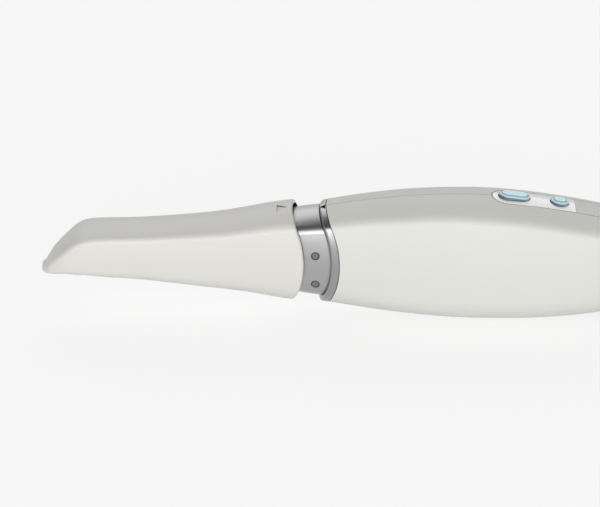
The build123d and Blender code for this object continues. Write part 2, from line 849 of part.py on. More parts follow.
def block(x, y, low_z, length, width, height):
    """A plain block centred on x and y that stands on low_z."""
    with BuildPart() as piece:
        with BuildSketch(Plane.XY.offset(low_z)):
            with Locations((x, y)):
                Rectangle(length, width)
        extrude(amount=height)
    return piece.part


# Camera: a flanged lens barrel in the bulkhead, two lenses, a beam splitter and an image sensor
barrel_flange_x = frame_front_x + bulkhead_thickness
barrel_front_x = barrel_flange_x - barrel_nose
barrel_end_x = splitter_x - barrel_gap
with BuildPart() as lens_barrel:
    with BuildSketch(cross_plane(barrel_front_x)):
        Circle(barrel_radius)
    extrude(amount=barrel_end_x - barrel_front_x)
    with BuildSketch(cross_plane(barrel_flange_x)):
        Circle(barrel_radius + barrel_flange_land)
    extrude(amount=barrel_flange_thickness)
    with BuildSketch(cross_plane(barrel_front_x)):
        Circle(lens_radius - lens_land)
    extrude(amount=barrel_end_x - barrel_front_x, mode=Mode.SUBTRACT)
    with BuildSketch(cross_plane(barrel_front_x)):
        Circle(lens_radius + lens_fit)
    extrude(amount=lens_pocket, mode=Mode.SUBTRACT)
    with BuildSketch(cross_plane(barrel_end_x)):
        Circle(lens_radius + lens_fit)
    extrude(amount=-lens_pocket, mode=Mode.SUBTRACT)
save(lens_barrel.part, "lens_barrel")


def convex_lens(plane):
    """A lens with a cylindrical rim and one domed face, seated on its flat face."""
    dome_radius = (lens_radius ** 2 + lens_dome ** 2) / (2 * lens_dome)
    with BuildPart() as lens:
        with BuildSketch(Plane.XZ) as half_section:
            with BuildLine():
                Line((0, 0), (lens_radius, 0))
                Line((lens_radius, 0), (lens_radius, lens_rim))
                RadiusArc((lens_radius, lens_rim), (0, lens_rim + lens_dome), -dome_radius)
                Line((0, lens_rim + lens_dome), (0, 0))
            make_face()
        revolve(axis=Axis.Z)
    return plane.location * lens.part


front_seat = Plane(
    origin=(barrel_front_x + lens_pocket, 0, axis_z), x_dir=(0, 1, 0), z_dir=(-1, 0, 0)
)
front_lens = convex_lens(front_seat)
save(front_lens, "front_lens")
rear_lens = convex_lens(cross_plane(barrel_end_x - lens_pocket))
save(rear_lens, "rear_lens")

beam_splitter = block(
    splitter_x + splitter_size / 2, 0, shelf_top_z, splitter_size, splitter_size, splitter_size
)
save(beam_splitter, "beam_splitter")

camera_board_x = splitter_x + splitter_size + camera_board_gap
camera_board = block(
    camera_board_x + board_thickness / 2, 0, shelf_top_z,
    board_thickness, camera_board_width, camera_board_height,
)
save(camera_board, "camera_board")
image_sensor = block(
    camera_board_x - sensor_thickness / 2, 0, axis_z - sensor_size / 2,
    sensor_thickness, sensor_size, sensor_size,
)
save(image_sensor, "image_sensor")

# Projector: a flanged barrel above the splitter with its lens, pattern slide, light source and board
projector_axis = Plane(origin=(splitter_x + splitter_size / 2, 0, 0), x_dir=(1, 0, 0), z_dir=(0, 0, 1))
projector_bottom_z = projector_deck_z - shelf_thickness
projector_top_z = projector_bottom_z + projector_height
with BuildPart() as projector_barrel:
    with BuildSketch(projector_axis.offset(projector_bottom_z)):
        Circle(projector_radius)
    extrude(amount=projector_height)
    with BuildSketch(projector_axis.offset(projector_deck_z)):
        Circle(projector_radius + barrel_flange_land)
    extrude(amount=projector_flange)
    with BuildSketch(projector_axis.offset(projector_bottom_z)):
        Circle(projector_lens_radius - lens_land)
    extrude(amount=projector_height, mode=Mode.SUBTRACT)
    with BuildSketch(projector_axis.offset(projector_bottom_z)):
        Circle(projector_lens_radius + lens_fit)
    extrude(amount=projector_pocket, mode=Mode.SUBTRACT)
    with BuildSketch(projector_axis.offset(projector_top_z)):
        Circle(projector_lens_radius + lens_fit)
    extrude(amount=-projector_pocket, mode=Mode.SUBTRACT)
save(projector_barrel.part, "projector_barrel")

projector_lens = round_piece(
    projector_axis.offset(projector_bottom_z + projector_pocket), projector_lens_radius,
    -projector_lens_thickness,
)
save(projector_lens, "projector_lens")
pattern_slide = round_piece(
    projector_axis.offset(projector_top_z - projector_pocket), projector_lens_radius,
    slide_thickness,
)
save(pattern_slide, "pattern_slide")
light_board = round_piece(
    projector_axis.offset(projector_top_z), projector_radius, board_thickness
)
save(light_board, "light_board")
light_source = block(
    splitter_x + splitter_size / 2, 0, projector_top_z - light_height,
    light_size, light_size, light_height,
)
save(light_source, "light_source")

# Electronics: the main board on its ledges, with the processor, pad and heat sink below it
board_start_x = ledge_centres[0] - ledge_length / 2 - board_margin
board_length = frame_end_x - end_plate - hand_fit - board_start_x
with BuildPart() as main_board:
    with BuildSketch(Plane.XY.offset(board_bottom_z)):
        with Locations((board_start_x + board_length / 2, 0)):
            Rectangle(board_length, rail_gap - 2 * hand_fit)
    extrude(amount=board_thickness)
    with BuildSketch(Plane.XY.offset(board_bottom_z)):
        with Locations((sum(ledge_centres) / 2, 0)):
            with GridLocations(ledge_pitch, board_screw_span, 2, 2):
                Circle(board_screw_radius + hand_fit)
    extrude(amount=board_thickness, mode=Mode.SUBTRACT)
save(main_board.part, "main_board")

chip_x = sum(ledge_centres) / 2
main_processor = block(
    chip_x, 0, board_bottom_z - processor_height, processor_size, processor_size, processor_height
)
save(main_processor, "main_processor")
with BuildPart() as board_chips:
    with BuildSketch(Plane.XY.offset(board_bottom_z + board_thickness)):
        with Locations((chip_x, 0)):
            with GridLocations(chip_pitch, chip_pitch, chip_columns, 1):
                RectangleRounded(chip_length, chip_width, chip_corner)
    extrude(amount=chip_height)
save(board_chips.part, "board_chips")
cable_header = block(
    frame_end_x - end_plate - header_length, 0, board_bottom_z + board_thickness,
    header_length, header_width, header_height,
)
save(cable_header, "cable_header")

pad_top_z = board_bottom_z - processor_height
thermal_pad = block(
    chip_x, 0, pad_top_z - thermal_pad_height, processor_size, processor_size, thermal_pad_height
)
save(thermal_pad, "thermal_pad")

with BuildPart() as heat_sink:
    with BuildSketch(Plane.XY.offset(pad_top_z - thermal_pad_height)):
        with Locations((chip_x, 0)):
            Rectangle(sink_length, fin_pitch * (fin_count - 1) + fin_thickness)
    extrude(amount=-sink_height)
    with BuildSketch(Plane.XY.offset(pad_top_z - thermal_pad_height - sink_base)):
        with Locations((chip_x, 0)):
            with GridLocations(sink_length, fin_pitch, 1, fin_count - 1):
                Rectangle(sink_length, fin_pitch - fin_thickness)
    extrude(amount=-sink_height, mode=Mode.SUBTRACT)
save(heat_sink.part, "heat_sink")

# Keys: two translucent caps with flanges and stems that run through the panel
def key_outline(outline_length, grow):
    """The long or the round outline of a key, grown all round."""
    if outline_length > key_width:
        SlotOverall(outline_length + 2 * grow, key_width + 2 * grow)
    else:
        Circle(key_width / 2 + grow)


def key_cap(x, z, outline_length, name):
    """A key with a bevelled face, a flange under the shell and a stem to its switch."""
    with BuildPart() as key:
        with BuildSketch(deck_plane(x, z, -handle_wall - flange_gap)):
            key_outline(outline_length, 0)
        extrude(amount=handle_wall + flange_gap + key_proud)
        chamfer(key.faces().sort_by(Axis.Z)[-1].edges(), key_bevel)
        with BuildSketch(deck_plane(x, z, -handle_wall - flange_gap)):
            key_outline(outline_length, flange_width)
        extrude(amount=-flange_thickness)
        with BuildSketch(deck_plane(x, z, -handle_wall - flange_gap - flange_thickness)):
            Circle(stem_radius)
        extrude(amount=-stem_length)
    save(key.part, name)


stem_end = handle_wall + flange_gap + flange_thickness + stem_length
switch_top = button_board_depth - board_thickness - switch_height
key_cap(scan_x, scan_z, scan_key_length, "scan_button")
key_cap(mode_x, mode_z, key_width, "mode_button")
for key_x, key_z, name in ((scan_x, scan_z, "scan"), (mode_x, mode_z, "mode")):
    plunger = round_piece(
        deck_plane(key_x, key_z, -stem_end), plunger_radius, stem_end - switch_top - plunger_dip
    )
    save(plunger, name + "_plunger")
    with BuildPart() as switch:
        with BuildSketch(deck_plane(key_x, key_z, -switch_top - switch_height)):
            Rectangle(switch_size, switch_size)
        extrude(amount=switch_height)
        with BuildSketch(deck_plane(key_x, key_z, -switch_top)):
            Circle(plunger_radius + key_fit)
        extrude(amount=-switch_bore, mode=Mode.SUBTRACT)
    save(switch.part, name + "_switch")

with BuildPart() as button_board:
    with BuildSketch(deck_middle):
        Rectangle(2 * bridge_reach + bridge_thickness, button_board_width)
        with Locations((-bridge_reach, 0), (bridge_reach, 0)):
            Circle(board_screw_radius + hand_fit, mode=Mode.SUBTRACT)
    extrude(amount=board_thickness)
save(button_board.part, "button_board")

# Screws: four hold the frame to the neck, six hold the boards
with BuildPart() as frame_screws:
    for y in (frame_screw_span_y / 2, -frame_screw_span_y / 2):
        for z in (frame_screw_span_z / 2, -frame_screw_span_z / 2):
            add(headed_screw(
                cross_plane(frame_front_x + bulkhead_thickness, axis_z + z, y),
                frame_head_radius, frame_head_height, frame_screw_radius,
                bulkhead_thickness + frame_screw_grip,
            ))
save(frame_screws.part, "frame_screws")

with BuildPart() as board_screws:
    for x in ledge_centres:
        for y in (board_screw_span / 2, -board_screw_span / 2):
            seat = Plane(origin=(x, y, board_bottom_z + board_thickness), z_dir=(0, 0, 1))
            add(headed_screw(
                seat, board_head_radius, board_head_height, board_screw_radius,
                board_thickness + ledge_thickness,
            ))
    for along in (-bridge_reach, bridge_reach):
        seat = Plane(
            origin=deck_middle.from_local_coords((along, 0, board_thickness)),
            x_dir=deck_middle.x_dir, z_dir=deck_middle.z_dir,
        )
        add(headed_screw(
            seat, board_head_radius, board_head_height, board_screw_radius,
            board_thickness + bridge_screw_grip,
        ))
save(board_screws.part, "board_screws")
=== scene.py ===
"""Finishes for a handheld intraoral scanner, and the stage that shows it.

It is laid out as a Blender add-on. Each operator finishes one piece, or one group of like pieces, of the
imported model. Lengths are in metres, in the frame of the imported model: X runs to the cable end, and Z is up.
"""
import json
import math
from collections import namedtuple

import bmesh
import bpy
from bpy.props import FloatProperty, FloatVectorProperty, PointerProperty
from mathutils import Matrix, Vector


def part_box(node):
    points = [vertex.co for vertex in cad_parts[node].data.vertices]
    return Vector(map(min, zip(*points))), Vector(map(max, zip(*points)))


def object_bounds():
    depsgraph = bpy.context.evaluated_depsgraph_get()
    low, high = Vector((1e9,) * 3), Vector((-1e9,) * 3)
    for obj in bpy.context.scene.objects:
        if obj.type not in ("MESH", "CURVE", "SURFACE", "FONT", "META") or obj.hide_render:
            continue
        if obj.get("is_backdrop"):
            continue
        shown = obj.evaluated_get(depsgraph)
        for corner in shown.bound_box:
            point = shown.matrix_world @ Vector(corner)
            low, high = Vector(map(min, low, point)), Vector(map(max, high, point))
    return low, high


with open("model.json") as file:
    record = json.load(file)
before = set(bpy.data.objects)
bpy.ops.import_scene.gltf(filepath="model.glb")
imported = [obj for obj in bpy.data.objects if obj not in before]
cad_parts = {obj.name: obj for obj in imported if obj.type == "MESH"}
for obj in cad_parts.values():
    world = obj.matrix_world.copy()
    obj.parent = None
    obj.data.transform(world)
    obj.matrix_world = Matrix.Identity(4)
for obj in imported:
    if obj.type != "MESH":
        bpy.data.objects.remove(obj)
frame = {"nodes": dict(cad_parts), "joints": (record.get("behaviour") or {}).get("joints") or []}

bl_info = {
    "name": "Intraoral Scanner Finishes",
    "version": (1, 0, 0),
    "blender": (4, 5, 0),
    "location": "3D View > Sidebar > Scanner",
    "description": "Finishes, marks and stage for a handheld intraoral scanner",
    "category": "Material",
}

MM = 0.001
PAINT_EDGE = 0.05 * MM
MARK_MIDDLE_Y = -1.0 * MM

# Nearly all values of a noise lie between these two.
NOISE_REACH = (0.35, 0.65)
# The inputs of a Mix node that mixes two colours.
SHARE, FIRST, SECOND = 0, 6, 7
# A wave texture turns through this many radians in one unit of its scale.
WAVE_RATE = 20

# A material with its node tree, its shader, and the place on the model in metres.
Finish = namedtuple("Finish", "material tree shader place")

# A flat soft lamp: which property holds its watts, its place from the middle of the scanner, and its sides.
Lamp = namedtuple("Lamp", "name watts_property from_middle width height")
LAMPS = (
    Lamp("key_lamp", "key_watts", Vector((0.0, -1.3, 0.47)), 1.3, 0.84),
    Lamp("low_lamp", "low_watts", Vector((0.0, -0.75, 0.06)), 1.2, 0.14),
    Lamp("back_lamp", "back_watts", Vector((0.0, 1.3, 0.95)), 2.2, 1.1),
)


def linear(hex_colour):
    """The linear colour of an sRGB hex value."""
    shares = [int(hex_colour[at:at + 2], 16) / 255 for at in (1, 3, 5)]
    return [share / 12.92 if share <= 0.04045 else ((share + 0.055) / 1.055) ** 2.4 for share in shares]


def colour_choice(name, description, hex_colour):
    """A colour that a user can change."""
    return FloatVectorProperty(
        name=name, description=description, subtype="COLOR", min=0, max=1, default=linear(hex_colour)
    )


def length_choice(name, description, default):
    """A length that a user can change."""
    return FloatProperty(
        name=name, description=description, default=default, min=0, precision=5,
        subtype="DISTANCE", unit="LENGTH",
    )


def power_choice(name, description, default):
    """The watts of a lamp, which a user can change."""
    return FloatProperty(name=name, description=description, default=default, min=0, unit="POWER")


class ScannerColours(bpy.types.PropertyGroup):
    """Colours of the finishes."""

    tip_white: colour_choice("Tip White", "Moulded polysulfone of the slip-on tip", "#E3E2DD")
    # Painted shade: the black inside the tip stands in for the shadow in the gap at its rim.
    inside_shade_black: colour_choice("Inside Black", "Coat inside the tip", "#1D1D1E")
    handle_white: colour_choice("Handle White", "Moulded ABS of the two handle halves", "#E2E3DC")
    panel_white: colour_choice("Panel White", "Moulded ABS of the key panel", "#F6F6F5")
    strip_grey: colour_choice("Strip Grey", "Moulded ABS of the strip behind the panel", "#E3E3DF")
    # Painted shadow, not a film: this grey darkens the parting line and the gap round the panel.
    gap_shade_grey: colour_choice("Film Grey", "Adhesive film in the recess under the panel", "#3A3A38")
    cap_grey: colour_choice("Cap Grey", "Moulded ABS of the rear cap", "#9B9C9E")
    key_blue: colour_choice("Key Blue", "Translucent polycarbonate of the keys", "#D3F5FC")
    key_rim_blue: colour_choice("Key Rim Blue", "Line round the face of each key", "#6FAAC6")
    # Painted shade: this grey darkens the wall of each key to stand in for its shade.
    key_wall_shade: colour_choice("Key Wall Grey", "Wall of each key, where the dark well shows", "#5C6E78")
    neck_metal: colour_choice("Neck Metal", "Blasted aluminium of the neck", "#A8A7A7")
    collar_metal: colour_choice("Collar Metal", "Turned aluminium of the collar", "#9E9D9D")
    mark_black: colour_choice("Mark Black", "Paint in the mark of the collar", "#0A0A0A")
    pad_grey: colour_choice("Pad Grey", "Silicone rubber of the grip pads", "#77777A")
    board_green: colour_choice("Board Green", "Solder mask of the boards", "#1F6B45")
    floor_pale: colour_choice("Floor", "Plain floor and its surroundings", "#F5F5F5")


class ScannerSizes(bpy.types.PropertyGroup):
    """Sizes of the grain, the marks and the lines that the finishes draw."""

    # Real mould grain is about 0.1 mm, and blasted pits and tool lines are about 0.05 mm. All three are too
    # fine to show in the render, so they are drawn as coarse as they need to show.
    mould_grain: length_choice("Mould Grain", "Size of the spark-eroded grain of the mouldings", 0.45 * MM)
    blast_grain: length_choice("Blast Grain", "Size of the pits of the blasted metal", 0.25 * MM)
    tool_lines: length_choice("Tool Lines", "Spacing of the lines that turning leaves", 0.22 * MM)
    tip_mark_length: length_choice("Tip Mark Length", "Length of the sunk triangle of the tip", 3.6 * MM)
    tip_mark_width: length_choice("Tip Mark Width", "Width of the sunk triangle of the tip", 5.0 * MM)
    collar_mark_length: length_choice("Collar Mark Length", "Length of the collar's triangle", 2.0 * MM)
    collar_mark_width: length_choice("Collar Mark Width", "Width of the collar's triangle", 3.3 * MM)
    panel_gap: length_choice("Panel Gap", "Gap round the panel, where the recess shows", 0.33 * MM)
    parting_line: length_choice("Parting Line", "Width of the line between the handle halves", 0.2 * MM)
    key_line: length_choice("Key Line", "Width of the line round the face of each key", 0.3 * MM)
    trace_spacing: length_choice("Trace Spacing", "Spacing of the copper tracks of the boards", 1.2 * MM)


class ScannerStage(bpy.types.PropertyGroup):
    """Camera, lamps and room."""

    camera_aim: FloatVectorProperty(
        name="Camera Aim", description="Middle of the view", subtype="TRANSLATION", unit="LENGTH",
        default=(-32.81 * MM, 0.0, 22.15 * MM),
    )
    camera_elevation: FloatProperty(
        name="Camera Elevation", description="How far the camera looks down", subtype="ANGLE",
        default=math.radians(25),
    )
    camera_distance: length_choice("Camera Distance", "From the camera to the middle of its view", 1200 * MM)
    camera_lens: FloatProperty(
        name="Camera Lens", description="Focal length on the sensor", subtype="DISTANCE_CAMERA", default=205.7
    )
    key_watts: power_choice("Key Lamp", "Soft lamp beside the camera", 7.7)
    low_watts: power_choice("Low Lamp", "Long low lamp in front", 1.65)
    back_watts: power_choice("Back Lamp", "Soft lamp behind the scanner", 11.5)
    room_level: FloatProperty(
        name="Room Level", description="Light from the pale room at the horizon", default=0.92, min=0
    )
    floor_level: FloatProperty(
        name="Floor Level", description="How bright the floor looks by itself", default=0.87, min=0
    )


def props():
    """Colours, sizes and stage of the scene."""
    scene = bpy.context.scene
    return scene.scanner_colours, scene.scanner_sizes, scene.scanner_stage


# Building a material

def fill(node, inputs):
    """Sets a node's inputs, by name or in order, or links those that are given a socket or a node."""
    for name, value in inputs.items() if isinstance(inputs, dict) else enumerate(inputs):
        if isinstance(value, bpy.types.Node):
            value = next(output for output in value.outputs if output.enabled)
        if isinstance(value, bpy.types.NodeSocket):
            node.id_data.links.new(value, node.inputs[name])
        else:
            node.inputs[name].default_value = value


def add(tree, kind, inputs=(), **settings):
    """Adds a shader node with its settings, and its inputs set or linked."""
    node = tree.nodes.new("ShaderNode" + kind)
    for name, value in settings.items():
        setattr(node, name, value)
    fill(node, inputs)
    return node


def start_finish(name, **shader_inputs):
    """A new material with one shader."""
    material = bpy.data.materials.new(name)
    material.use_nodes = True
    tree = material.node_tree
    tree.nodes.clear()
    shader = add(tree, "BsdfPrincipled", shader_inputs)
    add(tree, "OutputMaterial", {"Surface": shader})
    place = add(tree, "TexCoord").outputs["Object"]
    return Finish(material, tree, shader, place)


def opaque(colour):
    """A colour as a socket takes it."""
    return (*colour, 1.0)


def shade(colour, share):
    """The colour, lighter or darker by a share."""
    return (*[min(1.0, part * share) for part in colour], 1.0)


def paint(finish, share, colour):
    """Covers the finish with a colour where the share is 1."""
    under = finish.shader.inputs["Base Color"].links[0].from_socket
    over = add(finish.tree, "Mix", {SHARE: share, FIRST: under, SECOND: colour}, data_type="RGBA")
    fill(finish.shader, {"Base Color": over})


def axis_height():
    """Height of the scanner's long axis, where it runs through the neck."""
    low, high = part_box("neck_sleeve")
    return (low.z + high.z) / 2


def triangle_share(finish, point_x, base_x, width, edge=PAINT_EDGE):
    """1 inside a triangle on the crown, seen from above, from its point to its base on X, and 0 outside."""
    tree = finish.tree
    parts = add(tree, "SeparateXYZ", [finish.place]).outputs
    from_middle = add(tree, "Math", [parts["Y"], MARK_MIDDLE_Y], operation="SUBTRACT")
    across = add(tree, "Math", [from_middle], operation="ABSOLUTE")
    half_width = add(tree, "MapRange", [parts["X"], point_x, base_x, 0.0, width / 2], clamp=False)
    side_room = add(tree, "Math", [half_width, across], operation="SUBTRACT")
    base_room = add(tree, "MapRange", [parts["X"], base_x, point_x, 0.0, abs(base_x - point_x)], clamp=False)
    room = add(tree, "Math", [side_room, base_room], operation="MINIMUM")
    inside = add(tree, "MapRange", [room, -edge / 2, edge / 2, 0.0, 1.0])
    on_crown = add(tree, "Math", [parts["Z"], axis_height()], operation="GREATER_THAN")
    return add(tree, "Math", [inside, on_crown], operation="MULTIPLY")


def reach_from_run(finish, start_x, end_x):
    """How far a place lies, seen from above, from a run of the middle line between start_x and end_x."""
    tree = finish.tree
    parts = add(tree, "SeparateXYZ", [finish.place]).outputs
    before = add(tree, "Math", [start_x, parts["X"]], operation="SUBTRACT")
    after = add(tree, "Math", [parts["X"], end_x], operation="SUBTRACT")
    beyond = add(tree, "Math", [before, after], operation="MAXIMUM")
    past_end = add(tree, "Math", [beyond, 0.0], operation="MAXIMUM")
    offset = add(tree, "CombineXYZ", {"X": past_end, "Y": parts["Y"]})
    return add(tree, "VectorMath", [offset], operation="LENGTH")


def give(finish, slot_name, *nodes):
    """Puts the finish on the CAD nodes that share it."""
    for name in nodes:
        piece = frame["nodes"][name]
        piece.data.materials.clear()
        piece.data.materials.append(finish.material)


# Finishes. Each grain that they are given is a few times coarser than the real one, so that it shows.

def moulded_plastic(name, colour, grain, roughness, depth=0.0016 * MM, ior=1.53, clear=0.0):
    """Plastic moulded in a spark-eroded tool: an even colour, and a satin gloss broken by fine grain."""
    finish = start_finish(name, IOR=ior)
    _, tree, shader, place = finish
    clouds = add(tree, "TexNoise", {"Vector": place, "Scale": 1 / (40 * MM)})
    cloudy = add(tree, "MapRange", [clouds, *NOISE_REACH, 0.0, 1.0])
    tones = {SHARE: cloudy, FIRST: shade(colour, 0.99), SECOND: shade(colour, 1.008)}
    pits = add(tree, "TexNoise", {"Vector": place, "Scale": 1 / grain})
    fill(shader, {
        "Base Color": add(tree, "Mix", tones, data_type="RGBA"),
        "Roughness": add(tree, "MapRange", [pits, *NOISE_REACH, roughness - 0.03, roughness + 0.03]),
        "Normal": add(tree, "Bump", {"Height": pits, "Distance": depth}),
    })
    if clear:
        fill(shader, {
            "Subsurface Weight": clear, "Subsurface Radius": (1.2, 1.0, 0.9), "Subsurface Scale": 1.2 * MM,
        })
    return finish


def blasted_metal(name, colour, grain, roughness, depth=0.004 * MM):
    """Bead-blasted metal: no lines, and soft wide highlights from its tiny pits."""
    finish = start_finish(name, Metallic=1.0)
    _, tree, shader, place = finish
    pits = add(tree, "TexNoise", {"Vector": place, "Scale": 1 / grain})
    clouds = add(tree, "TexNoise", {"Vector": place, "Scale": 1 / (15 * MM)})
    cloudy = add(tree, "MapRange", [clouds, *NOISE_REACH, 0.0, 1.0])
    tones = {SHARE: cloudy, FIRST: shade(colour, 0.97), SECOND: shade(colour, 1.03)}
    fill(shader, {
        "Base Color": add(tree, "Mix", tones, data_type="RGBA"),
        "Roughness": add(tree, "MapRange", [pits, *NOISE_REACH, roughness - 0.04, roughness + 0.04]),
        "Normal": add(tree, "Bump", {"Height": pits, "Distance": depth}),
    })
    return finish


def turned_metal(name, colour, spacing, roughness, direction="X", depth=0.002 * MM):
    """Metal turned on a lathe: fine lines run round it, so highlights spread along its length."""
    finish = start_finish(name, Metallic=1.0)
    _, tree, shader, place = finish
    wave = {"Vector": place, "Scale": math.tau / (WAVE_RATE * spacing), "Distortion": 0.4}
    lines = add(tree, "TexWave", wave, bands_direction=direction).outputs["Fac"]
    tones = {SHARE: lines, FIRST: shade(colour, 0.96), SECOND: shade(colour, 1.02)}
    fill(shader, {
        "Base Color": add(tree, "Mix", tones, data_type="RGBA"),
        "Roughness": add(tree, "MapRange", [lines, 0.0, 1.0, roughness - 0.03, roughness + 0.03]),
        "Normal": add(tree, "Bump", {"Height": lines, "Distance": depth}),
    })
    return finish


def moulded_rubber(name, colour, grain, roughness=0.7):
    """Moulded silicone or nitrile rubber: dull, with a faint dusty grain."""
    finish = start_finish(name, IOR=1.41)
    _, tree, shader, place = finish
    dust = add(tree, "TexNoise", {"Vector": place, "Scale": 1 / grain, "Detail": 4.0})
    dusty = add(tree, "MapRange", [dust, *NOISE_REACH, 0.0, 1.0])
    tones = {SHARE: dusty, FIRST: shade(colour, 0.84), SECOND: shade(colour, 1.2)}
    fill(shader, {
        "Base Color": add(tree, "Mix", tones, data_type="RGBA"),
        "Roughness": add(tree, "MapRange", [dust, *NOISE_REACH, roughness - 0.05, roughness + 0.08]),
        "Normal": add(tree, "Bump", {"Height": dust, "Distance": 0.006 * MM}),
    })
    return finish


def polished_glass(name, colour, coat):
    """Polished optical glass with a coating: clear, with a faint tint in its reflections."""
    finish = start_finish(name, IOR=1.52, **{"Transmission Weight": 1.0, "Specular Tint": opaque(coat)})
    haze = add(finish.tree, "TexNoise", {"Vector": finish.place, "Scale": 1 / (6 * MM)})
    fill(finish.shader, {
        "Base Color": opaque(colour),
        "Roughness": add(finish.tree, "MapRange", [haze, *NOISE_REACH, 0.0, 0.02]),
    })
    return finish


def solder_masked_board(name, colour, spacing):
    """Glass-epoxy board under solder mask: raised copper tracks show a little lighter, with gilt pads."""
    finish = start_finish(name, IOR=1.55)
    _, tree, shader, place = finish
    # The pattern is turned out of line with every face of a board, so that none is cut along one cell.
    turned = add(tree, "Mapping", {"Vector": place, "Rotation": (0.0, math.radians(35), math.radians(45))})
    # Shares of a cell: from the middle of a track to the middle of its gap, and the edges of track and pad.
    half_pitch, track_edge, pad_edge = 0.12, (0.045, 0.065), (0.08, 0.1)
    cells = {"Vector": turned, "Scale": 1 / (3 * spacing)}
    steps = add(tree, "TexVoronoi", cells, distance="CHEBYCHEV")
    folds = add(tree, "Math", [steps, half_pitch], operation="PINGPONG")
    tracks = add(tree, "MapRange", [folds, *track_edge, 0.0, 1.0])
    pads = add(tree, "MapRange", [steps, *pad_edge, 1.0, 0.0])
    tones = {SHARE: tracks, FIRST: opaque(colour), SECOND: shade(colour, 1.7)}
    fill(shader, {
        "Base Color": add(tree, "Mix", tones, data_type="RGBA"),
        "Metallic": pads,
        "Roughness": add(tree, "MapRange", [tracks, 0.0, 1.0, 0.42, 0.3]),
        "Normal": add(tree, "Bump", {"Height": tracks, "Distance": 0.03 * MM}),
    })
    paint(finish, pads, opaque(linear("#C9A553")))
    return finish


class SCANNER_OT_finish_tip(bpy.types.Operator):
    """Finish the slip-on tip and its mirror"""

    bl_idname = "scanner.finish_tip"
    bl_label = "Finish Tip"

    # Along X, on the crown: from the collar to the tip's rim, and from the rim to the sunk triangle.
    rim_from_collar = 9.8 * MM
    mark_from_rim = 1.34 * MM
    # A zone round the triangle that has no other steep face in it.
    zone_length = 5.0 * MM
    zone_width = 7.0 * MM
    steep_below = 0.7
    # Width and strength of the painted shadow along the triangle's base.
    base_line = 0.3 * MM
    base_shadow_share = 0.7
    # The middle of the nose lies lower than the axis, and rises to it behind the nose.
    nose_drop = 6.3 * MM
    nose_run = 10.0 * MM
    nose_wall = 2.0 * MM
    # The guide ribs, from the nose, and how near the axis every face of theirs is.
    ribs_middle = 52.5 * MM
    ribs_half_length = 18.5 * MM
    ribs_height = 5.0 * MM

    def execute(self, context):
        colours, sizes, _ = props()
        give(self.tip_finish(colours, sizes), "tip_white", "tip_shell")
        # Front-silvered glass: a clean mirror with a trace of polishing haze.
        mirror = start_finish("front_silvered_glass", Metallic=1.0)
        haze = add(mirror.tree, "TexNoise", {"Vector": mirror.place, "Scale": 1 / (4 * MM)})
        tones = {SHARE: haze, FIRST: opaque(linear("#F4F6F7")), SECOND: opaque(linear("#EBEEF0"))}
        fill(mirror.shader, {
            "Base Color": add(mirror.tree, "Mix", tones, data_type="RGBA"),
            "Roughness": add(mirror.tree, "MapRange", [haze, *NOISE_REACH, 0.01, 0.03]),
        })
        give(mirror, "mirror_glass", "tip_mirror")
        return {"FINISHED"}

    def tip_finish(self, colours, sizes):
        """Polysulfone, which stands steam: a little glossier and more waxy than the ABS of the handle."""
        finish = moulded_plastic(
            "moulded_polysulfone_white", colours.tip_white, sizes.mould_grain, roughness=0.42, ior=1.63,
            clear=0.15,
        )
        normal = add(finish.tree, "TexCoord").outputs["Normal"]
        # Painted shade: the steep walls of the sunk triangle, and a fainter line along its base, are darkened
        # to stand in for their shadow.
        paint(finish, self.painted_wall_shade(finish, normal, sizes), shade(colours.tip_white, 0.32))
        # Painted shade: the inside is coloured black, so that the gap at the rim looks as dark as its shadow.
        paint(finish, self.painted_inside_shade(finish, normal), opaque(colours.inside_shade_black))
        return finish

    def painted_wall_shade(self, finish, normal, sizes):
        """1 where shade is painted on the steep walls of the sunk triangle, a little less along its base, and 0
        elsewhere.
        """
        tree = finish.tree
        rim_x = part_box("collar_ring")[0].x - self.rim_from_collar
        zone = triangle_share(finish, rim_x, rim_x - self.zone_length, self.zone_width, 2 * PAINT_EDGE)
        facing = add(tree, "SeparateXYZ", [normal]).outputs
        level = add(tree, "Math", [facing["Z"]], operation="ABSOLUTE")
        steep = add(tree, "Math", [level, self.steep_below], operation="LESS_THAN")
        walls = add(tree, "Math", [zone, steep], operation="MULTIPLY")
        point_x = rim_x - self.mark_from_rim
        base_x = point_x - sizes.tip_mark_length
        mark = triangle_share(finish, point_x, base_x, sizes.tip_mark_width)
        parts = add(tree, "SeparateXYZ", [finish.place]).outputs
        at_base = add(tree, "Math", [parts["X"], base_x + self.base_line], operation="LESS_THAN")
        line = add(tree, "Math", [mark, at_base], operation="MULTIPLY")
        faint_shadow_line = add(tree, "Math", [line, self.base_shadow_share], operation="MULTIPLY")
        return add(tree, "Math", [walls, faint_shadow_line], operation="MAXIMUM")

    def painted_inside_shade(self, finish, normal):
        """1 where the surface faces the middle of the tip, and 0 outside."""
        tree = finish.tree
        nose_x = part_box("tip_shell")[0].x
        parts = add(tree, "SeparateXYZ", [finish.place]).outputs
        rise = [nose_x, nose_x + self.nose_run, axis_height() - self.nose_drop, axis_height()]
        middle = add(tree, "MapRange", [parts["X"], *rise])
        above = add(tree, "Math", [parts["Z"], middle], operation="SUBTRACT")
        from_middle = add(tree, "CombineXYZ", {"Y": parts["Y"], "Z": above})
        outward = add(tree, "VectorMath", [normal, from_middle], operation="DOT_PRODUCT")
        ribs = [parts["X"], nose_x + self.ribs_middle, self.ribs_half_length]
        at_ribs = add(tree, "Math", ribs, operation="COMPARE")
        limit = add(tree, "Math", [at_ribs, self.ribs_height], operation="MULTIPLY")
        inside = add(tree, "Math", [outward, limit], operation="LESS_THAN")
        behind_nose = add(tree, "Math", [parts["X"], nose_x + self.nose_wall], operation="GREATER_THAN")
        return add(tree, "Math", [inside, behind_nose], operation="MULTIPLY")


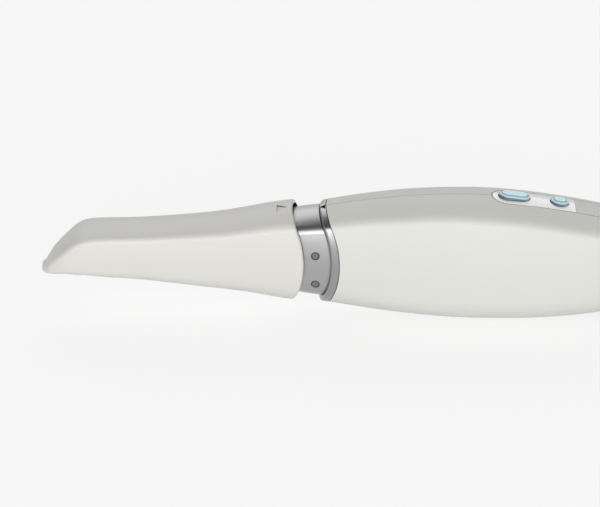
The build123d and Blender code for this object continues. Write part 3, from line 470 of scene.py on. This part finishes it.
class SCANNER_OT_finish_neck(bpy.types.Operator):
    """Finish the metal neck, its grip pads and the collar"""

    bl_idname = "scanner.finish_neck"
    bl_label = "Finish Neck and Collar"

    mark_from_edge = 0.1 * MM
    pad_edge = (0.55 * MM, 0.25 * MM)

    def execute(self, context):
        colours, sizes, _ = props()
        # Blasted aluminium: pale and even, with one wide soft highlight along the side.
        neck = blasted_metal("blasted_aluminium_neck", colours.neck_metal, sizes.blast_grain, roughness=0.37)
        give(neck, "neck_metal", "neck_sleeve")
        give(self.pad_finish(colours), "pad_grey", "grip_pads")
        give(self.collar_finish(colours, sizes), "collar_metal", "collar_ring")
        return {"FINISHED"}

    def pad_finish(self, colours):
        """Silicone rubber discs with a speckle of dust, and painted shade round the edge where they sit in
        their holes.
        """
        finish = moulded_rubber("silicone_rubber_pads", colours.pad_grey, 0.5 * MM)
        tree = finish.tree
        low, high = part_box("grip_pads")
        radius = (high.x - low.x) / 2
        half_pitch = (high.z - low.z) / 2 - radius
        from_middle = add(tree, "VectorMath", [finish.place, (low + high) / 2], operation="SUBTRACT")
        mirrored = add(tree, "VectorMath", [from_middle], operation="ABSOLUTE")
        from_disc = add(tree, "VectorMath", [mirrored, (0.0, 0.0, half_pitch)], operation="SUBTRACT")
        flat = add(tree, "VectorMath", [from_disc, (1.0, 0.0, 1.0)], operation="MULTIPLY")
        reach = add(tree, "VectorMath", [flat], operation="LENGTH")
        start, end = [radius - depth for depth in self.pad_edge]
        # Painted shade: the edge of each disc is darkened to stand in for the shadow where it sits in its hole.
        paint(finish, add(tree, "MapRange", [reach, start, end, 0.0, 1.0]), shade(colours.pad_grey, 0.35))
        return finish

    def collar_finish(self, colours, sizes):
        """Turned aluminium with a painted triangle, which is dull in the bright metal."""
        finish = turned_metal("turned_aluminium_collar", colours.collar_metal, sizes.tool_lines, roughness=0.28)
        _, tree, shader, _ = finish
        point_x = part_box("collar_ring")[0].x + self.mark_from_edge
        mark = triangle_share(finish, point_x, point_x + sizes.collar_mark_length, sizes.collar_mark_width)
        metal_gloss = shader.inputs["Roughness"].links[0].from_socket
        dull = add(tree, "Math", [mark, 0.9], operation="MULTIPLY")
        paint(finish, mark, opaque(colours.mark_black))
        fill(shader, {
            "Metallic": add(tree, "Math", [1.0, mark], operation="SUBTRACT"),
            "Roughness": add(tree, "Math", [metal_gloss, dull], operation="MAXIMUM"),
            "Specular IOR Level": add(tree, "MapRange", [mark, 0.0, 1.0, 0.5, 0.1]),
        })
        return finish


class SCANNER_OT_finish_handle(bpy.types.Operator):
    """Finish the handle halves, the key panel, the strip behind it and the rear cap"""

    bl_idname = "scanner.finish_handle"
    bl_label = "Finish Handle"

    def execute(self, context):
        colours, sizes, _ = props()
        grain = sizes.mould_grain
        give(self.handle_finish(colours, sizes), "handle_white", "left_housing", "right_housing")
        # The panel is lacquered, so it is glossier and looks paler than the handle.
        panel = moulded_plastic("moulded_abs_panel", colours.panel_white, grain, roughness=0.27, ior=1.6)
        fill(panel.shader, {"Coat Weight": 0.8, "Coat Roughness": 0.15, "Coat IOR": 1.7})
        give(panel, "panel_white", "button_panel")
        # The strip and the cap have a rougher grain, so they look duller than the handle.
        strip = moulded_plastic("moulded_abs_strip", colours.strip_grey, grain, 0.5, depth=0.003 * MM)
        give(strip, "strip_grey", "rear_strip")
        cap = moulded_plastic("moulded_abs_cap", colours.cap_grey, grain, 0.52, depth=0.004 * MM)
        give(cap, "cap_grey", "rear_cap")
        return {"FINISHED"}

    def handle_finish(self, colours, sizes):
        """Moulded ABS, with painted shadow in the parting line and in the gap round the panel, where the recess
        shows.
        """
        finish = moulded_plastic(
            "moulded_abs_handle", colours.handle_white, sizes.mould_grain, roughness=0.44
        )
        tree = finish.tree
        parts = add(tree, "SeparateXYZ", [finish.place]).outputs
        on_crown = add(tree, "Math", [parts["Z"], axis_height()], operation="GREATER_THAN")
        away = add(tree, "Math", [parts["Y"]], operation="ABSOLUTE")
        line = sizes.parting_line
        # Painted shadow in the parting line along the crown.
        parting = add(tree, "MapRange", [away, line / 2, line, 0.45, 0.0])
        paint(finish, add(tree, "Math", [parting, on_crown], operation="MULTIPLY"), opaque(colours.gap_shade_grey))
        # Painted shadow in the gap round the panel, where the recess shows.
        low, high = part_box("button_panel")
        half_width = high.y + sizes.panel_gap
        reach = reach_from_run(finish, low.x - sizes.panel_gap + half_width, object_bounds()[1].x)
        edge = [half_width - PAINT_EDGE / 2, half_width + PAINT_EDGE / 2]
        recess = add(tree, "MapRange", [reach, *edge, 1.0, 0.0])
        paint(finish, add(tree, "Math", [recess, on_crown], operation="MULTIPLY"), opaque(colours.gap_shade_grey))
        return finish


class SCANNER_OT_finish_keys(bpy.types.Operator):
    """Finish the two keys with their plungers and switches"""

    bl_idname = "scanner.finish_keys"
    bl_label = "Finish Keys"

    face_depth = 0.05 * MM
    # The wall begins this far outside the face, past the bevel.
    bevel = (0.62 * MM, 0.88 * MM)

    def execute(self, context):
        colours, sizes, _ = props()
        for key in ("scan", "mode"):
            give(self.key_finish(key, colours, sizes), "key_blue", f"{key}_button")
        # Acetal is slippery and slightly see-through, so it looks like wax.
        acetal = moulded_plastic("moulded_acetal_plungers", linear("#E8E6DF"), 0.5 * MM, 0.4, clear=0.2)
        give(acetal, "panel_white", "scan_plunger", "mode_plunger")
        # Stamped steel under matt tin: pale, with a soft sheen.
        tin = blasted_metal("tinned_steel_switches", linear("#C6C6C4"), 0.3 * MM, roughness=0.3)
        give(tin, "switch_metal", "scan_switch", "mode_switch")
        return {"FINISHED"}

    def face_of(self, key):
        """Middle, half length and half width of the flat face of a key, found along its travel."""
        travel = next(Vector(joint["axis"]) for joint in frame["joints"] if joint["child"] == f"{key}_key")
        points = [vertex.co for vertex in frame["nodes"][f"{key}_button"].data.vertices]
        top = max(-point.dot(travel) for point in points)
        face = [point for point in points if -point.dot(travel) > top - self.face_depth]
        ends_x = [min(point.x for point in face), max(point.x for point in face)]
        return sum(ends_x) / 2, (ends_x[1] - ends_x[0]) / 2, max(abs(point.y) for point in face)

    def key_finish(self, key, colours, sizes):
        """Translucent polycarbonate, moulded glossy: a pale face and bevel, a deeper line, and painted shade on
        the wall.
        """
        middle_x, half_length, half_width = self.face_of(key)
        finish = start_finish(
            f"moulded_polycarbonate_{key}_key", IOR=1.585, Roughness=0.14,
            **{"Subsurface Weight": 0.08, "Subsurface Radius": (0.5, 0.9, 1.0), "Subsurface Scale": 0.6 * MM},
        )
        _, tree, shader, place = finish
        half_run = half_length - half_width
        reach = reach_from_run(finish, middle_x - half_run, middle_x + half_run)
        past_face = add(tree, "Math", [reach, half_width], operation="SUBTRACT")
        from_line = add(tree, "Math", [past_face], operation="ABSOLUTE")
        line = add(tree, "MapRange", [from_line, sizes.key_line / 4, sizes.key_line, 1.0, 0.0])
        clouds = add(tree, "TexNoise", {"Vector": place, "Scale": 1 / (2 * MM)})
        cloudy = add(tree, "MapRange", [clouds, *NOISE_REACH, 0.0, 0.2])
        tones = {SHARE: cloudy, FIRST: opaque(colours.key_blue), SECOND: shade(colours.key_blue, 0.8)}
        fill(shader, {
            "Base Color": add(tree, "Mix", tones, data_type="RGBA"),
            "Normal": add(tree, "Bump", {"Height": line, "Distance": -0.05 * MM}),
        })
        paint(finish, line, opaque(colours.key_rim_blue))
        # Painted shade: the wall past the bevel is darkened to stand in for its shade.
        paint(finish, add(tree, "MapRange", [past_face, *self.bevel, 0.0, 1.0]), opaque(colours.key_wall_shade))
        return finish


class SCANNER_OT_finish_optics(bpy.types.Operator):
    """Finish the optical tube, its window, the lenses and the frame that carries them"""

    bl_idname = "scanner.finish_optics"
    bl_label = "Finish Optics"

    def execute(self, context):
        _, sizes, _ = props()
        # Glass-filled polyamide for the tube: matt, and black so that it swallows stray light.
        tube = moulded_plastic(
            "glass_filled_polyamide_tube", linear("#1B1B1D"), 0.5 * MM, 0.62, depth=0.01 * MM
        )
        give(tube, "snout_black", "snout_tube")
        # Moulded nitrile rubber: black and dull, so the window has a dark rim.
        seal = moulded_rubber("nitrile_rubber_seal", linear("#161616"), 0.3 * MM)
        give(seal, "seal_black", "window_seal")
        # Window glass with an antireflection coat: clear, with a bluish glint.
        clear = polished_glass("coated_window_glass", linear("#EEF6F6"), linear("#CFE3FF"))
        give(clear, "clear_glass", "front_window", "beam_splitter")
        # Lens glass with a coat of several layers: clear, with a violet glint.
        crown = polished_glass("coated_crown_glass", linear("#F2F7F4"), linear("#D9CCFF"))
        give(crown, "clear_glass", "front_lens", "rear_lens", "projector_lens", "pattern_slide")
        # Black anodising fills the turned lines a little, so the barrels are satin and not bright.
        black = turned_metal("black_anodised_aluminium_barrels", linear("#2A2A2C"), sizes.tool_lines, 0.4)
        give(black, "barrel_black", "lens_barrel", "projector_barrel")
        # Die-cast zinc alloy, left as cast: grey and slightly mottled.
        cast = blasted_metal("die_cast_alloy_frame", linear("#9A9A98"), 0.6 * MM, 0.48, depth=0.012 * MM)
        give(cast, "frame_metal", "optics_frame")
        return {"FINISHED"}


class SCANNER_OT_finish_boards(bpy.types.Operator):
    """Finish the circuit boards, what is soldered to them and what cools them"""

    bl_idname = "scanner.finish_boards"
    bl_label = "Finish Boards"

    def execute(self, context):
        colours, sizes, _ = props()
        board = solder_masked_board("solder_masked_boards", colours.board_green, sizes.trace_spacing)
        give(board, "board_green", "main_board", "camera_board", "light_board", "button_board")
        # Moulded epoxy with fine silica: nearly black, and dull.
        epoxy = moulded_plastic("moulded_epoxy_chips", linear("#202123"), 0.3 * MM, 0.55, depth=0.006 * MM)
        give(epoxy, "chip_black", "main_processor", "board_chips", "image_sensor", "cable_header")
        # Phosphor in clear silicone: pale yellow, and lit through from inside.
        phosphor = moulded_plastic("phosphor_capped_light", linear("#EFEBC8"), 0.3 * MM, 0.4, clear=0.3)
        give(phosphor, "light_white", "light_source")
        # Silicone filled with ceramic powder: dull, chalky and blue.
        pad = moulded_rubber("thermal_silicone_pad", linear("#7C93B8"), 0.5 * MM, 0.8)
        give(pad, "thermal_blue", "thermal_pad")
        # Extruded aluminium keeps fine lines along its length from the die.
        fins = turned_metal(
            "extruded_aluminium_heat_sink", linear("#B9BABB"), sizes.tool_lines, 0.35, direction="Y"
        )
        give(fins, "sink_metal", "heat_sink")
        return {"FINISHED"}


class SCANNER_OT_finish_socket(bpy.types.Operator):
    """Finish the cable socket and its contacts"""

    bl_idname = "scanner.finish_socket"
    bl_label = "Finish Cable Socket"

    def execute(self, context):
        # Polyamide is tough and a little soft, so the socket is black with a low gloss.
        socket = moulded_plastic(
            "moulded_polyamide_socket", linear("#232427"), 0.4 * MM, 0.5, depth=0.006 * MM
        )
        give(socket, "socket_black", "cable_socket")
        # Gold over nickel on brass pins: bright, and barely marked by use.
        gold = blasted_metal("gold_plated_contacts", linear("#E8C66F"), 0.3 * MM, 0.18, depth=0.001 * MM)
        give(gold, "contact_gold", "socket_contacts")
        return {"FINISHED"}


class SCANNER_OT_finish_fasteners(bpy.types.Operator):
    """Finish the screws"""

    bl_idname = "scanner.finish_fasteners"
    bl_label = "Finish Screws"

    def execute(self, context):
        _, sizes, _ = props()
        # Stainless screws, rolled and passivated: grey with soft turned lines on the heads.
        steel = turned_metal("stainless_steel_screws", linear("#B7B5B2"), sizes.tool_lines, 0.26)
        give(steel, "screw_steel", "frame_screws", "board_screws", "cap_screws")
        return {"FINISHED"}


class SCANNER_OT_set_stage(bpy.types.Operator):
    """Set the floor, the pale room, the lamps and the camera"""

    bl_idname = "scanner.set_stage"
    bl_label = "Set Stage"

    floor_reach = 6.0
    floor_clearance = 0.05 * MM
    # Height of a direction: the room is pale below the first and dim above the second.
    pale_below, dim_above = 0.05, 0.6

    def execute(self, context):
        colours, _, stage = props()
        low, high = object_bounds()
        self.make_floor(colours.floor_pale, stage.floor_level)
        self.make_room(colours.floor_pale, stage.room_level)
        for plan in LAMPS:
            self.place_lamp(plan, (low + high) / 2, getattr(stage, plan.watts_property))
        self.place_camera(stage)
        return {"FINISHED"}

    def make_floor(self, colour, level):
        """A wide plain floor under the scanner."""
        mesh = bpy.data.meshes.new("floor")
        shape = bmesh.new()
        bmesh.ops.create_grid(shape, x_segments=8, y_segments=8, size=self.floor_reach)
        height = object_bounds()[0].z - self.floor_clearance
        bmesh.ops.translate(shape, verts=shape.verts, vec=(0.0, 0.0, height))
        shape.to_mesh(mesh)
        shape.free()
        floor = bpy.data.objects.new("floor", mesh)
        bpy.context.scene.collection.objects.link(floor)
        floor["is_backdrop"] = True
        mesh.materials.append(self.floor_material(colour, level))

    def floor_material(self, colour, level):
        """Seamless studio paper: even and dull. Seen directly or in gloss it is pale, and keeps its shadow."""
        material = bpy.data.materials.new("seamless_paper_floor")
        material.use_nodes = True
        tree = material.node_tree
        tree.nodes.clear()
        place = add(tree, "TexCoord").outputs["Object"]
        fibres = add(tree, "TexNoise", {"Vector": place, "Scale": 1 / (3 * MM)})
        papers = {SHARE: fibres, FIRST: shade(colour, 0.84), SECOND: shade(colour, 0.86)}
        lit = add(tree, "BsdfDiffuse", {"Color": add(tree, "Mix", papers, data_type="RGBA")})
        shadows = {SHARE: fibres, FIRST: shade(colour, 0.24), SECOND: shade(colour, 0.25)}
        shadowed = add(tree, "BsdfDiffuse", {"Color": add(tree, "Mix", shadows, data_type="RGBA")})
        glow = add(tree, "Emission", {"Color": opaque(colour), "Strength": level})
        pale = add(tree, "AddShader", [shadowed, glow])
        rays = add(tree, "LightPath").outputs
        seen = add(tree, "Math", [rays["Is Camera Ray"], rays["Is Glossy Ray"]], operation="MAXIMUM")
        seen_through = add(tree, "Math", [seen, rays["Is Transmission Ray"]], operation="MAXIMUM")
        add(tree, "OutputMaterial", {"Surface": add(tree, "MixShader", [seen_through, lit, pale])})
        return material

    def make_room(self, colour, level):
        """A room that is pale at the horizon and dim overhead."""
        world = bpy.data.worlds.new("studio_room")
        bpy.context.scene.world = world
        world.use_nodes = True
        tree = world.node_tree
        tree.nodes.clear()
        direction = add(tree, "TexCoord").outputs["Generated"]
        height = add(tree, "SeparateXYZ", [direction]).outputs["Z"]
        dim = add(tree, "MapRange", [height, self.pale_below, self.dim_above, 0.0, 1.0])
        tones = {SHARE: dim, FIRST: opaque(colour), SECOND: shade(colour, 0.2)}
        light = add(tree, "Background", {"Color": add(tree, "Mix", tones, data_type="RGBA"), "Strength": level})
        add(tree, "OutputWorld", {"Surface": light})

    def place_lamp(self, plan, middle, watts):
        """A flat soft lamp that faces the middle of the scanner."""
        lamp = bpy.data.lights.new(plan.name, "AREA")
        lamp.shape = "RECTANGLE"
        lamp.size = plan.width
        lamp.size_y = plan.height
        lamp.energy = watts
        lamp_object = bpy.data.objects.new(plan.name, lamp)
        lamp_object.location = middle + plan.from_middle
        lamp_object.rotation_euler = (-plan.from_middle).to_track_quat("-Z", "Y").to_euler()
        lamp_object.visible_camera = False
        bpy.context.scene.collection.objects.link(lamp_object)

    def place_camera(self, stage):
        """A long lens beside the scanner, looking down at it."""
        camera = bpy.data.cameras.new("camera")
        camera.sensor_width = 36.0
        camera.lens = stage.camera_lens
        camera_object = bpy.data.objects.new("camera", camera)
        elevation = stage.camera_elevation
        back = Vector((0.0, -math.cos(elevation), math.sin(elevation)))
        camera_object.location = Vector(stage.camera_aim) + back * stage.camera_distance
        camera_object.rotation_euler = (-back).to_track_quat("-Z", "Y").to_euler()
        bpy.context.scene.collection.objects.link(camera_object)
        bpy.context.scene.camera = camera_object


class SCANNER_PT_finishes(bpy.types.Panel):
    """Finishes of the scanner"""

    bl_label = "Scanner"
    bl_idname = "SCANNER_PT_finishes"
    bl_space_type = "VIEW_3D"
    bl_region_type = "UI"
    bl_category = "Scanner"

    def draw(self, context):
        scene = context.scene
        for step in OPERATORS:
            self.layout.operator(step.bl_idname)
        for group in (scene.scanner_colours, scene.scanner_sizes, scene.scanner_stage):
            box = self.layout.box()
            for name in group.bl_rna.properties.keys():
                if name not in ("rna_type", "name"):
                    box.prop(group, name)


GROUPS = {"scanner_colours": ScannerColours, "scanner_sizes": ScannerSizes, "scanner_stage": ScannerStage}
OPERATORS = (
    SCANNER_OT_finish_tip,
    SCANNER_OT_finish_neck,
    SCANNER_OT_finish_handle,
    SCANNER_OT_finish_keys,
    SCANNER_OT_finish_optics,
    SCANNER_OT_finish_boards,
    SCANNER_OT_finish_socket,
    SCANNER_OT_finish_fasteners,
    SCANNER_OT_set_stage,
)


def register():
    """Registers the classes and puts their properties on the scene."""
    for group in GROUPS.values():
        bpy.utils.register_class(group)
    for step in OPERATORS:
        bpy.utils.register_class(step)
    bpy.utils.register_class(SCANNER_PT_finishes)
    for name, group in GROUPS.items():
        setattr(bpy.types.Scene, name, PointerProperty(type=group))


def unregister():
    """Takes the properties and the classes away again."""
    for name in GROUPS:
        delattr(bpy.types.Scene, name)
    bpy.utils.unregister_class(SCANNER_PT_finishes)
    for step in reversed(OPERATORS):
        bpy.utils.unregister_class(step)
    for group in reversed(list(GROUPS.values())):
        bpy.utils.unregister_class(group)


def main():
    """Finishes every piece and sets the stage."""
    register()
    bpy.context.scene.view_settings.view_transform = "Standard"
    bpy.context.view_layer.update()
    bpy.ops.scanner.finish_tip()
    bpy.ops.scanner.finish_neck()
    bpy.ops.scanner.finish_handle()
    bpy.ops.scanner.finish_keys()
    bpy.ops.scanner.finish_optics()
    bpy.ops.scanner.finish_boards()
    bpy.ops.scanner.finish_socket()
    bpy.ops.scanner.finish_fasteners()
    bpy.ops.scanner.set_stage()


if __name__ == "__main__":
    main()
